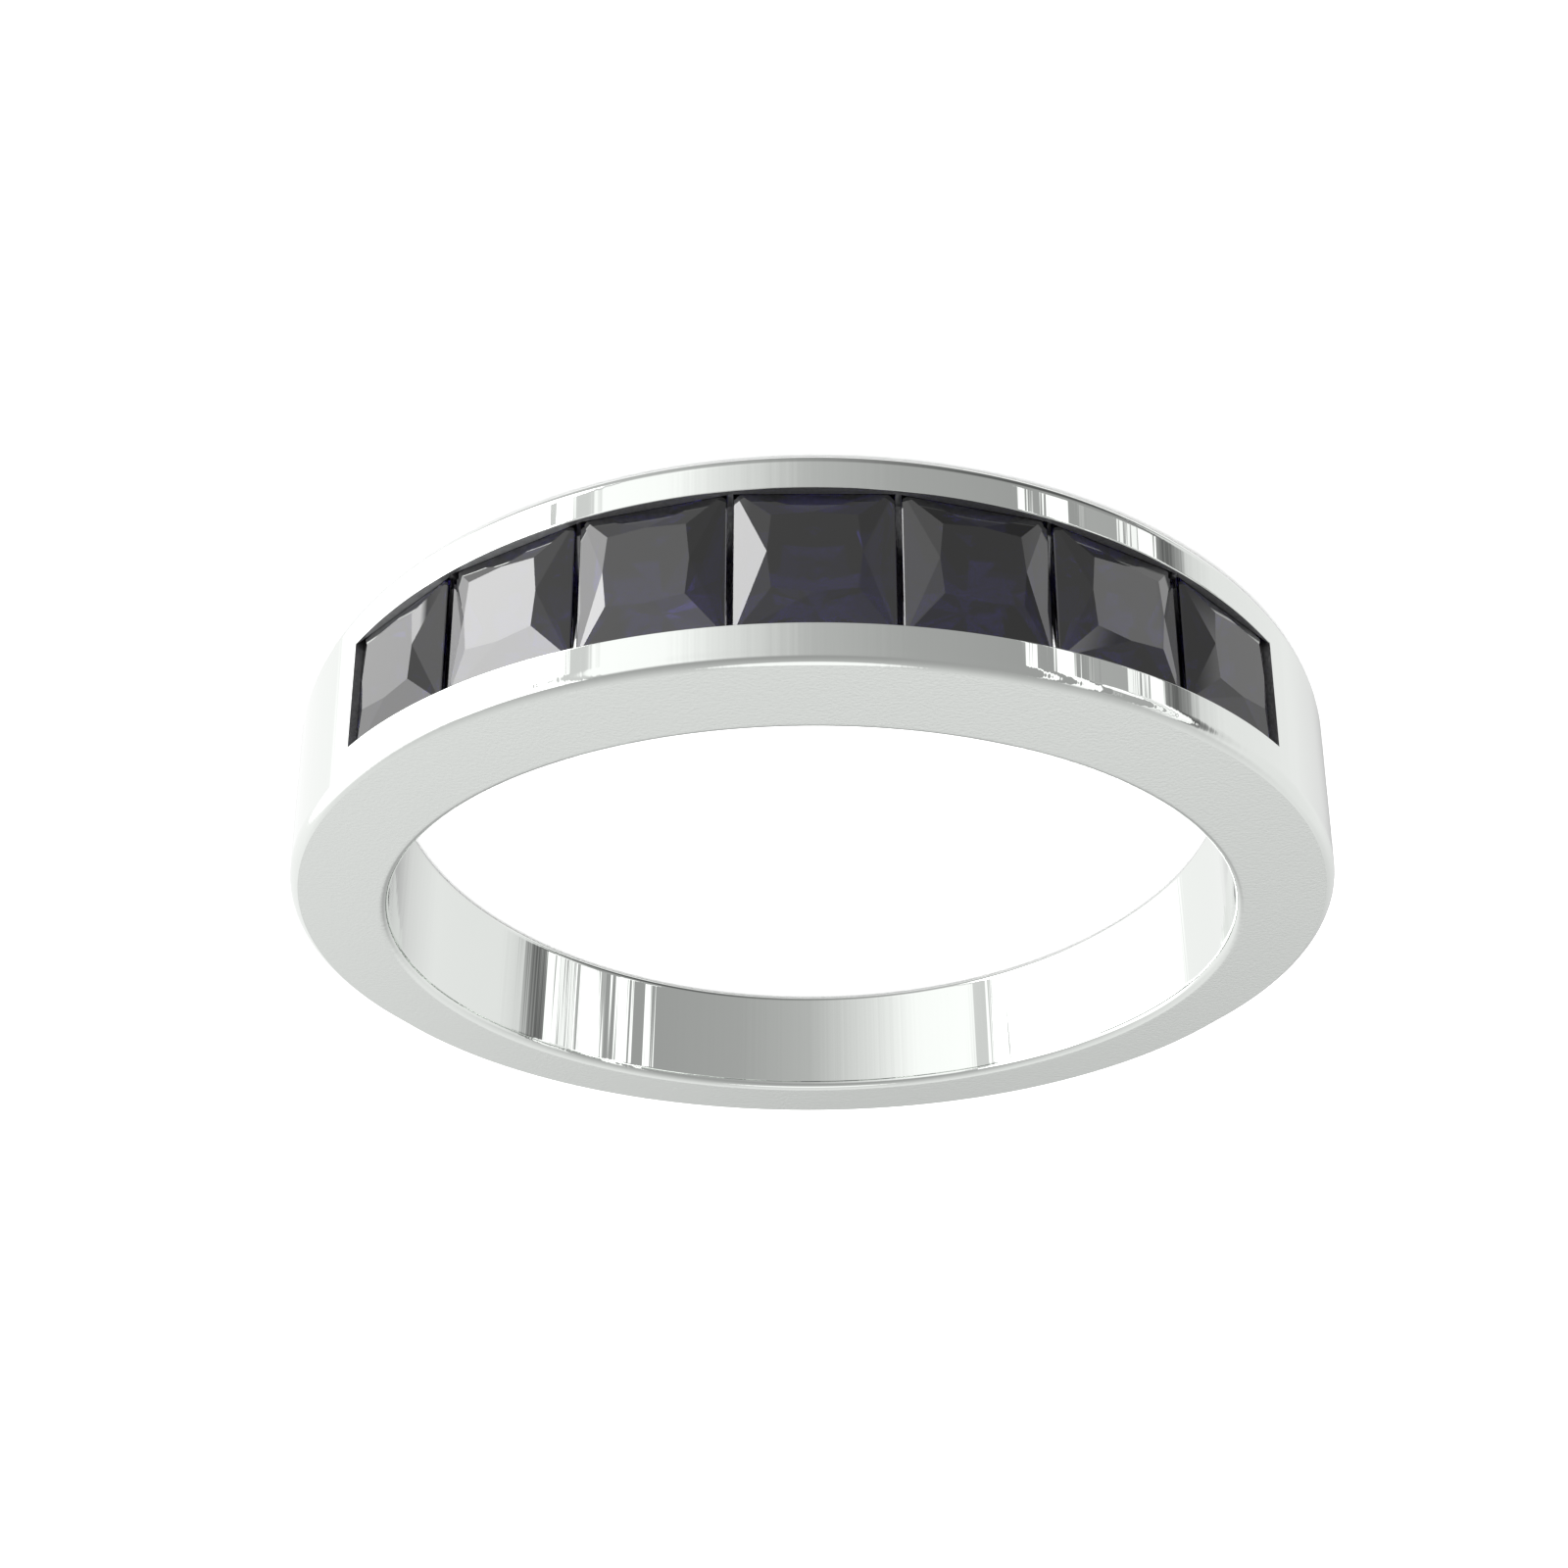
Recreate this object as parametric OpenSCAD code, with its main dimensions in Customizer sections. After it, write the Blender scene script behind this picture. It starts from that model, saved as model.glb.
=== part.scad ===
// Channel set band: a polished metal ring with one row of square stones between two rails.
// The ring lies on its side. +Z is up, the stones face -Y, and the origin is the middle of its
// footprint on the surface it rests on.

/* [Finger hole] */
// Inside diameter, a US size 7
bore_d = 17.3; // [14:0.1:21]
// Size of the rounding at both ends of the finger hole
bore_edge = 0.17; // [0.05:0.01:0.3]

/* [Band] */
// Wall thickness under the middle stone
front_wall = 2.51; // [2.4:0.01:3]
// Wall thickness at the back
back_wall = 1.59; // [1.2:0.01:2.2]
// How far the centre of the front curve lies from the bore's, towards the stones
front_shift = 0.61; // [0.4:0.01:0.8]
// Width along the finger at the middle stone
front_width = 4.51; // [4.2:0.01:5]
// Width along the finger at the back
back_width = 2.19; // [1.6:0.01:3]
// Size of the rounding along both outer edges
rim_edge = 0.26; // [0.05:0.01:0.4]

/* [Channel] */
// Clear width between the rails at the middle stone
channel_front_width = 2.9; // [2.6:0.01:3]
// Clear width between the rails at the ends of the row
channel_end_width = 2.32; // [2:0.01:2.5]
// Metal left between the channel's floor and the finger hole
floor_wall = 0.4; // [0.3:0.01:0.5]
// Side of the square window in the floor behind each stone
window_size = 1.3; // [0.8:0.05:1.4]

/* [Stones] */
// Angle of the row taken by the middle stone, then by the next three to either side
stone_angles = [16.85, 16.15, 16.05, 15.7]; // [14:0.05:17]
// Gap between two neighbours
stone_gap = 0.12; // [0.08:0.01:0.2]
// How far each girdle reaches under a rail
rail_overlap = 0.14; // [0.1:0.01:0.2]
// How far the middle of each table stands above the rails
table_rise = 0.08; // [0:0.01:0.1]
// Size of the square table as a share of the stone's length, at the middle of its sides
table_share = 0.585; // [0.5:0.005:0.65]
// Crown height as a share of the stone's length
crown_share = 0.12; // [0.08:0.01:0.12]
// Depth below the girdle as a share of the stone's length
pavilion_share = 0.55; // [0.45:0.01:0.56]
// Thickness of the girdle
girdle = 0.06; // [0.04:0.01:0.1]

/* [Hidden] */
$fn = 180;

// Clearance between a stone and the seat cut for it
seat_slack = 0.03;
// How much further than half a gap a seat runs along the row, so that neighbours' seats join
seat_lap = 0.02;
// Angle between the last seat and the end wall of the channel
end_slack = 0.2;
// The middle stone's number
middle = 4;
// The tables' corners lie this much closer in than the middles of their sides
table_corner_share = 0.91;
// Where the point on each lower side lies: outwards and down, as shares of the girdle and depth
belly_out = 0.58;
belly_down = 0.5;
// How far cutting shapes run past what they cut
past = 2;

bore_r = bore_d / 2;
front_r = bore_r + front_wall - front_shift;
back_r = bore_r + back_wall;
front_reach = front_shift + front_r;
floor_r = bore_r + floor_wall;

// Heights are linear in s, the distance from the bore's axis towards the stones
face_slope = (front_width - back_width) / 2 / (front_reach + back_r);
face_tilt = atan(face_slope);
function half_width(s) = back_width / 2 + face_slope * (s + back_r);

// The end of the row, as an angle about the centre of the front curve
row_end = stone_angles[0] / 2 + stone_angles[1] + stone_angles[2] + stone_angles[3];
channel_end = row_end + end_slack;
channel_end_s = front_shift + front_r * cos(channel_end);
channel_slope = (channel_front_width - channel_end_width) / 2 / (front_reach - channel_end_s);
function channel_half(s) = channel_front_width / 2 - channel_slope * (front_reach - s);

// The tables touch a circle about the front curve's centre, and the girdles lie below it
table_r = front_r + table_rise;
function stone_angle(i) = stone_angles[abs(i - middle)];
// Angle from the middle of the row to the middle of stone i, positive towards +X
function stone_turn(i) =
    i == middle ? 0
    : i < middle ? stone_turn(i + 1) + (stone_angle(i + 1) + stone_angle(i)) / 2
    : -stone_turn(2 * middle - i);
function row_length(i, r) = 2 * r * tan(stone_angle(i) / 2) - stone_gap;
function crown_height(i) = crown_share * row_length(i, front_r);
function girdle_r(i) = table_r - crown_height(i);
function stone_length(i) = row_length(i, girdle_r(i));
function stone_width(i) =
    2 * (channel_half(front_shift + girdle_r(i) * cos(stone_turn(i))) + rail_overlap);

// The lower face is turned level and lifted to the surface, and the footprint is centred
lift = half_width(0) * cos(face_tilt);
front_y = -front_reach * cos(face_tilt)
    - (half_width(front_reach) - rim_edge) * sin(face_tilt);
back_y = back_r * cos(face_tilt) + (half_width(-back_r) - rim_edge) * sin(face_tilt);
footprint_shift = -(front_y + back_y) / 2;

// Turns the upright ring, whose bore is along Z, so that it rests on its lower face
module lay_down() {
    translate([0, footprint_shift, lift])
        rotate([-face_tilt, 0, 0])
            children();
}

// A slab across X whose half height goes evenly from one value at the stones to one at the back
module tapered_slab(half_front, half_back) {
    reach = front_reach + past;
    rotate([90, 0, 90])
        linear_extrude(height = 2 * reach, center = true)
            polygon([
                [-reach, -half_front], [reach, -half_back],
                [reach, half_back], [-reach, half_front]
            ]);
}

// Seen along the bore: two circles joined by the straight lines that touch both
module band_outline() {
    touch = acos((back_r - front_r) / front_shift);
    front_touch = [front_r * sin(touch), -front_shift - front_r * cos(touch)];
    back_touch = [back_r * sin(touch), -back_r * cos(touch)];
    translate([0, -front_shift])
        circle(r = front_r);
    circle(r = back_r);
    polygon([
        front_touch, back_touch,
        [-back_touch.x, back_touch.y], [-front_touch.x, front_touch.y]
    ]);
}

module band_blank() {
    reach = front_reach + past;
    intersection() {
        linear_extrude(height = 2 * front_width, center = true)
            band_outline();
        tapered_slab(half_width(reach), half_width(-reach));
    }
}

// Takes the corner off a round wall of radius r in two flat cuts that follow a quarter circle
// of radius edge. side is 1 where the metal is inside the wall and -1 where it is outside.
module round_edge(r, edge, side) {
    mid = 1 - cos(45);
    run = edge * (1 - mid);
    drop = 3;
    rotate_extrude()
        polygon([
            [r - side * (edge + run), edge * mid],
            [r - side * edge * mid, -edge * mid],
            [r + side * edge * mid * (drop - 1), -edge * mid - run * drop],
            [r + side * past, -edge * mid - run * drop],
            [r + side * past, edge * mid]
        ]);
}

// Everything on one side of the line where the front and back circles cross
module front_or_back(is_front) {
    cross_y = (pow(front_r, 2) - pow(back_r, 2) - pow(front_shift, 2)) / 2 / front_shift;
    size = 3 * front_reach;
    intersection() {
        children();
        translate([-size / 2, is_front ? cross_y - size : cross_y, -size / 2])
            cube(size);
    }
}

// Both side faces' outer and inner edges
module edge_cuts() {
    for (flip = [0, 1])
        mirror([0, 0, flip])
            translate([0, 0, half_width(0)])
                rotate([-face_tilt, 0, 0]) {
                    front_or_back(true)
                        translate([0, -front_shift, 0])
                            round_edge(front_r, rim_edge, 1);
                    front_or_back(false)
                        round_edge(back_r, rim_edge, 1);
                    round_edge(bore_r, bore_edge, -1);
                }
}

// The slot between the rails, down to its floor
module channel_cut() {
    reach = front_reach + past;
    far = 2 * reach;
    intersection() {
        linear_extrude(height = front_width, center = true)
            difference() {
                translate([0, -front_shift])
                    polygon([
                        [0, 0],
                        [far * sin(channel_end), -far * cos(channel_end)],
                        [-far * sin(channel_end), -far * cos(channel_end)]
                    ]);
                circle(r = floor_r);
            }
        tapered_slab(channel_half(reach), channel_half(-reach));
    }
}

// Moves a shape from the middle of the girdle, table upwards, to stone i's place in the row
module at_stone(i) {
    translate([0, -front_shift, 0])
        rotate([0, 0, stone_turn(i)])
            translate([0, -girdle_r(i), 0])
                rotate([90, 0, 0])
                    children();
}

function corners(x, y, z) = [[x, y, z], [-x, y, z], [-x, -y, z], [x, -y, z]];
function side_middles(x, y, z) = [[0, y, z], [-x, 0, z], [0, -y, z], [x, 0, z]];

// A princess cut: an eight sided table, a large triangle on each side of the crown with two
// slender ones between it and each corner, a thin girdle, and a belly below each side.
// slack grows it all round and lap lengthens it along the row, to cut its seat.
module princess_cut(i, slack = 0, lap = 0) {
    x = stone_length(i) / 2 + slack + lap;
    y = stone_width(i) / 2 + slack;
    top = crown_height(i) + slack;
    low = -girdle - slack;
    depth = pavilion_share * stone_length(i) + slack;
    side = table_share * stone_length(i) / 2;
    corner = side * table_corner_share;
    points = concat(
        corners(corner, corner, top),
        side_middles(side, side, top),
        corners(x, y, 0),
        corners(x, y, low),
        side_middles(x * belly_out, y * belly_out, low - belly_down * depth),
        [[0, 0, low - depth]]
    );
    // The first number of each group of points above
    table = 0;
    edge = 4;
    upper = 8;
    lower = 12;
    belly = 16;
    culet = 20;
    table_face = [
        for (k = [3:-1:0])
            each [edge + k, table + k]
    ];
    side_faces = [
        for (k = [0:3])
            let (n = (k + 1) % 4)
                each [
                    [upper + k, edge + k, upper + n],
                    [upper + k, table + k, edge + k],
                    [upper + n, edge + k, table + n],
                    [lower + k, upper + k, upper + n, lower + n],
                    [lower + k, lower + n, belly + k],
                    [lower + k, belly + k, culet],
                    [belly + k, lower + n, culet]
                ]
    ];
    polyhedron(points, concat([table_face], side_faces));
}

module seat_cuts() {
    for (i = [1:7])
        at_stone(i)
            princess_cut(i, seat_slack, stone_gap / 2 + seat_lap - seat_slack);
}

// Square windows from the finger hole through the channel's floor
module window_cuts() {
    for (i = [1:7])
        translate([0, -front_shift, 0])
            rotate([0, 0, stone_turn(i)])
                translate([0, -floor_r, 0])
                    cube([window_size, 2 * past, window_size], center = true);
}

module band() {
    color("gainsboro")
        lay_down()
            difference() {
                band_blank();
                cylinder(h = 2 * front_width, r = bore_r, center = true);
                edge_cuts();
                channel_cut();
                seat_cuts();
                window_cuts();
            }
}

module stone(i) {
    color("midnightblue")
        lay_down()
            at_stone(i)
                princess_cut(i);
}

band();
stone(1);  // stone_1
stone(2);  // stone_2
stone(3);  // stone_3
stone(4);  // stone_4
stone(5);  // stone_5
stone(6);  // stone_6
stone(7);  // stone_7
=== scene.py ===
"""Channel set band ring: polished and satin white gold, seven cut sapphires, and a small photo studio.

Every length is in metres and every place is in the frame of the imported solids: +Z up from the floor that
the ring lies on, -Y towards the stones, +X towards stone_1. The ring itself is worked out upright, with the
finger hole's axis along Z, and is then laid on its lower side face.
"""

import math

import bmesh
import bpy
import numpy as np
from bpy.props import FloatProperty, FloatVectorProperty, PointerProperty
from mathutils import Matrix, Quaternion, Vector


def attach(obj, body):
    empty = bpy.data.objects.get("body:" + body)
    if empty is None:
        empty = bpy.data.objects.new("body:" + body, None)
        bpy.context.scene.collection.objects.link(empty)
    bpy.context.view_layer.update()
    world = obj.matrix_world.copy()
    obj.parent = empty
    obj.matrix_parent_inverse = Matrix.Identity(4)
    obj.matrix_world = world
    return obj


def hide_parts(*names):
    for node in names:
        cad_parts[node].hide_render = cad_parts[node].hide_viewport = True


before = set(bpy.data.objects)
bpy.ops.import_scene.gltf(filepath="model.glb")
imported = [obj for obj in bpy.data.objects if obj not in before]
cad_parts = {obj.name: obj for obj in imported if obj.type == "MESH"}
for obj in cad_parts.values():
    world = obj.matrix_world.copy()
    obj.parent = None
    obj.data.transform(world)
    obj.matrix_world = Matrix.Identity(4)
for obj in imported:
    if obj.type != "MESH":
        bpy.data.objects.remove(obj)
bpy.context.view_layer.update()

bl_info = {
    "name": "Channel set band ring",
    "version": (1, 0, 0),
    "blender": (4, 5, 0),
    "location": "3D View > Sidebar > Ring",
    "description": "Builds a channel set band, finishes its metal and stones, and sets a studio round it",
    "category": "Object",
}

MM = 0.001
# The stones' nodes, which are numbered from +X
STONES = sorted(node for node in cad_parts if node.startswith("stone_"))
# The order of the band's three finishes among its materials
POLISHED, SATIN, AS_CAST = range(3)


def length(name, description, millimetres, low, high):
    """A length that a user may change, in metres, from sizes given in millimetres."""
    return FloatProperty(
        name=name, description=description, default=millimetres * MM, min=low * MM, max=high * MM,
        unit="LENGTH", precision=5,
    )


def angle(name, description, degrees, low, high):
    """An angle that a user may change, from degrees."""
    return FloatProperty(
        name=name, description=description, default=math.radians(degrees), min=math.radians(low),
        max=math.radians(high), unit="ROTATION",
    )


def share(name, description, value, low=0.0, high=1.0):
    """A plain factor that a user may change."""
    return FloatProperty(
        name=name, description=description, default=value, min=low, max=high, subtype="FACTOR"
    )


def linear(hex_colour):
    """Turns an sRGB hex colour such as #A0B1C2 into linear red, green and blue."""
    srgb = np.array([int(hex_colour[k:k + 2], 16) for k in (1, 3, 5)]) / 255
    curve = ((srgb + 0.055) / 1.055) ** 2.4
    return tuple(np.where(srgb <= 0.04045, srgb / 12.92, curve).tolist())


def colour(name, description, hex_colour):
    """A surface colour that a user may change, from sRGB hex."""
    return FloatVectorProperty(
        name=name, description=description, default=linear(hex_colour), min=0, max=1, size=3,
        subtype="COLOR",
    )


class BandSizes(bpy.types.PropertyGroup):
    """The sizes of the metal band. Those that the solid band has too are the same as there."""

    bore_radius: length("Hole radius", "Radius of the finger hole", 8.65, 7, 10.5)
    bore_edge: length("Hole rounding", "Radius of the rounding at both ends of the hole", 0.17, 0.05, 0.3)
    front_wall: length("Front wall", "Wall thickness under the middle stone", 2.51, 2.4, 3)
    back_wall: length("Back wall", "Wall thickness at the back", 1.59, 1.2, 2.2)
    front_shift: length("Front shift", "From the hole's axis to the front curve's centre", 0.61, 0.4, 0.8)
    front_width: length("Front width", "Width along the finger at the middle stone", 4.51, 4.2, 5)
    back_width: length("Back width", "Width along the finger at the back", 2.19, 1.6, 3)
    rim_edge: length("Rim rounding", "How far the rims' roundings reach along the wall", 0.26, 0.05, 0.4)
    rim_cut: angle("Rim cut", "Angle at which a side face, ground flat, cuts its rim's rounding", 22, 0, 45)
    channel_front: length("Channel at the middle", "Clear width between the rails there", 2.9, 2.6, 3)
    channel_end: length("Channel at the ends", "Clear width between the rails there", 2.32, 2, 2.5)
    lip_edge: length("Lip rounding", "Radius of the worn edge along the inside of each rail", 0.02, 0.01, 0.1)
    seat_slack: length("Seat slack", "Clearance round a girdle in its groove", 0.03, 0.01, 0.05)
    floor_wall: length("Floor", "Metal between the channel's floor and the finger hole", 0.4, 0.3, 0.5)
    window: length("Window", "Side of the square window behind each stone", 1.3, 0.8, 1.4)


class RowSizes(bpy.types.PropertyGroup):
    """The row of stones, as the solids have it, apart from the end slack, the end push and the bevels."""

    middle: angle("Middle stone", "Angle of the row that the middle stone takes", 16.85, 14, 17)
    second: angle("Second stones", "Angle that the stones next to the middle one take", 16.15, 14, 17)
    third: angle("Third stones", "Angle that the third stones take", 16.05, 14, 17)
    last: angle("Last stones", "Angle that the last stone at each end takes", 15.7, 14, 17)
    end_slack: angle("End slack", "Angle between the last seat and the channel's end wall", 0.05, 0, 1)
    end_push: length("End push", "How far the last stones are pushed towards the end walls", 0.045, 0, 0.05)
    gap: length("Gap", "Gap between two neighbouring stones", 0.12, 0.08, 0.2)
    table_rise: length("Table rise", "How far the tables stand above the rails", 0.08, 0, 0.1)
    overlap: length("Overlap", "How far each girdle reaches under a rail", 0.14, 0.1, 0.2)
    table: share("Table", "Size of the table as a share of the stone's length", 0.585, 0.5, 0.65)
    table_corner: share("Table corners", "Its corners as a share of the middles of its sides", 0.91, 0.8, 1)
    crown_share: share("Crown height", "Crown height as a share of the stone's length", 0.12, 0.08, 0.12)
    pavilion_share: share("Pavilion", "Depth below the girdle, over the stone's length", 0.55, 0.45, 0.56)
    girdle: length("Girdle", "Thickness of the girdle", 0.06, 0.04, 0.1)
    bevel: length("Bevel", "Width of the bevels above and below the girdle", 0.015, 0.01, 0.06)


class MetalFinish(bpy.types.PropertyGroup):
    """How the white gold looks."""

    metal: colour("Metal", "Colour of the rhodium plate", "#DADDDA")
    cast: colour("Cast metal", "Colour inside the channel and the windows, which no brush reaches", "#BEBFC1")
    polish: share("Polish", "Roughness of the polished surfaces", 0.02)
    satin: share("Satin", "Roughness of the two side faces", 0.24)
    matt: share("Matt", "Roughness inside the channel and the windows", 0.45)


class StoneFinish(bpy.types.PropertyGroup):
    """How the sapphires look."""

    body: colour("Body", "Colour of the stone", "#0C0926")
    ior: FloatProperty(
        name="Refraction", description="Index of refraction of corundum", default=1.77, min=1.3, max=2.6
    )


class Studio(bpy.types.PropertyGroup):
    """Where the camera stands and how bright the studio is."""

    aim: FloatVectorProperty(
        name="Aim", description="The point that the camera looks at", size=3, unit="LENGTH", precision=5,
        default=(0.558 * MM, -2.341 * MM, 1.65 * MM),
    )
    distance: length("Distance", "From the camera to its aim", 63.45, 30, 300)
    azimuth: angle("Azimuth", "Turn of the camera round the ring", -0.085, -180, 180)
    elevation: angle("Elevation", "Height of the camera above the floor, as an angle", 33.56, 5, 90)
    roll: angle("Roll", "Turn of the picture, which shows the stones at the top", 180, -180, 180)
    lens: FloatProperty(
        name="Lens", description="Focal length on a 36 mm sensor", default=72.65, min=20, max=200,
        unit="CAMERA",
    )
    floor_reach: length("Floor", "Half the side of the floor", 600, 100, 2000)
    paper_light: FloatProperty(
        name="Paper's light", description="Even light on the paper floor, 1 is plain white", default=2.4,
        min=0, max=5,
    )


# The keel is the fold down the middle of each side of a pavilion, and the ridge runs down from each corner.
# The keel has two points, and each lies this far out along the row and across it, as shares of the stone's
# half length and half width.
KEEL_OUT = np.array([(0.84, 0.80), (0.56, 0.52)])
# How far down the keel's points and the ridge's one point lie, as shares of the depth
KEEL_DOWN = (0.3, 0.62)
RIDGE_DOWN = 0.45


class RingShape:
    """The band's form about the centre of its front curve, worked out from the driving sizes.

    A place on the band is given by a turn, the angle from the middle of the row about the front curve's
    centre (positive towards +X), by a reach, the distance from that centre, and by a rise along the finger.
    """

    def __init__(self, band, row):
        self.band, self.row = band, row
        self.shift = band.front_shift
        self.bore = band.bore_radius
        self.front = self.bore + band.front_wall - self.shift
        self.back = self.bore + band.back_wall
        # Half the band's width is linear in the distance towards the stones
        self.slope = (band.front_width - band.back_width) / 2 / (self.shift + self.front + self.back)
        self.tilt = math.atan(self.slope)
        self.half_at_centre = band.back_width / 2 + self.slope * (self.shift + self.back)
        self.half_at_axis = band.back_width / 2 + self.slope * self.back
        # The row is symmetric, and its stones are numbered from +X
        angles = [row.last, row.third, row.second, row.middle, row.second, row.third, row.last]
        self.row_end = sum(angles) / 2
        self.channel_end = self.row_end + row.end_slack
        self.stone_angles = np.array(angles)
        self.stone_turns = self.row_end - np.cumsum(angles) + self.stone_angles / 2
        self.gap_turns = self.row_end - np.cumsum(angles)[:-1]
        end_drop = self.front * (1 - math.cos(self.channel_end))
        self.channel_slope = (band.channel_front - band.channel_end) / 2 / end_drop
        # The two circles of the outline are joined by lines, which touch them at these turns
        self.touch = math.acos((self.back - self.front) / self.shift)
        self.back_touch = math.atan2(
            self.back * math.sin(self.touch), self.back * math.cos(self.touch) - self.shift
        )
        self.lay_out()

    def lay_out(self):
        """Finds how far the upright ring is lifted and shifted when it is laid on its lower side face."""
        cos, sin, rim = math.cos(self.tilt), math.sin(self.tilt), self.band.rim_edge
        reach = self.shift + self.front
        self.lift = self.half_at_axis * cos
        front_y = -reach * cos - (self.half_at_axis + self.slope * reach - rim) * sin
        back_y = self.back * cos + (self.half_at_axis - self.slope * self.back - rim) * sin
        self.footprint_shift = -(front_y + back_y) / 2

    def round_bore(self, turn, radius):
        """Reach to a circle of this radius about the finger hole's axis, by the cosine rule."""
        return -self.shift * np.cos(turn) + np.sqrt(radius ** 2 - (self.shift * np.sin(turn)) ** 2)

    def outline(self, turn):
        """Reach to the outer wall: the front circle, the line that touches both circles, the back circle."""
        turn = np.abs((turn + np.pi) % (2 * np.pi) - np.pi)
        line = self.front / np.cos(np.clip(turn - self.touch, 0, 1))
        return np.where(turn <= self.back_touch, line, self.round_bore(turn, self.back))

    def channel_half(self, turn, reach):
        """Half the clear width between the rails, which narrows evenly away from the middle stone."""
        drop = self.front - reach * np.cos(turn)
        return self.band.channel_front / 2 - self.channel_slope * drop

    def crown(self, number):
        """Height of a stone's crown; stones are counted from 0 here."""
        return self.row.crown_share * (2 * self.front * np.tan(self.stone_angles[number] / 2) - self.row.gap)

    def girdle_height(self, number):
        """Distance of a stone's girdle plane from the front curve's centre."""
        return self.front + self.row.table_rise - self.crown(number)

    def half_size(self, number):
        """Half the length of a stone's girdle along the row, and half its width across it."""
        plane, angle = self.girdle_height(number), self.stone_angles[number]
        return (
            plane * np.tan(angle / 2) - self.row.gap / 2,
            self.channel_half(self.stone_turns[number], plane) + self.row.overlap,
        )

    def seat(self, turn):
        """The seat cut under a rail for the stone at each turn.

        Gives the reach to the stone's girdle plane, which is square to that stone's own turn, the girdle's
        half width, and how far above and below the girdle the seat meets the rail's wall. The last two follow
        the stone: a crown facet rises by the crown's height from the girdle to the table, and a pavilion
        facet falls from the girdle to its keel, so each has moved by its slope times the girdle's overlap
        when it comes out from under the rail.
        """
        number = np.argmin(np.abs(turn[..., None] - self.stone_turns), axis=-1)
        girdle = self.girdle_height(number) / np.cos(turn - self.stone_turns[number])
        half_length, half = self.half_size(number)
        under_rail = half - self.channel_half(turn, girdle)
        rise = under_rail * self.crown(number) / (half - self.row.table * half_length)
        depth = self.row.pavilion_share * 2 * half_length
        fall = (under_rail + self.band.seat_slack) * KEEL_DOWN[0] * depth / ((1 - KEEL_OUT[0][1]) * half)
        return girdle, half, rise, fall

    def lay_down(self, turn, reach, rise):
        """Places in the frame, from turn, reach and rise: tilted onto the lower side face, and lifted."""
        x = reach * np.sin(turn)
        y = -self.shift - reach * np.cos(turn)
        sin, cos = math.sin(self.tilt), math.cos(self.tilt)
        return np.stack(
            [x, y * cos + rise * sin + self.footprint_shift, -y * sin + rise * cos + self.lift], axis=-1
        )


def steps(*stops):
    """Joins even runs: each stop after the first is (value, number of steps). Gives every value passed."""
    runs = [np.array([stops[0]])]
    for value, count in stops[1:]:
        runs.append(np.linspace(runs[-1][-1], value, count + 1)[1:])
    return np.concatenate(runs)


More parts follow.
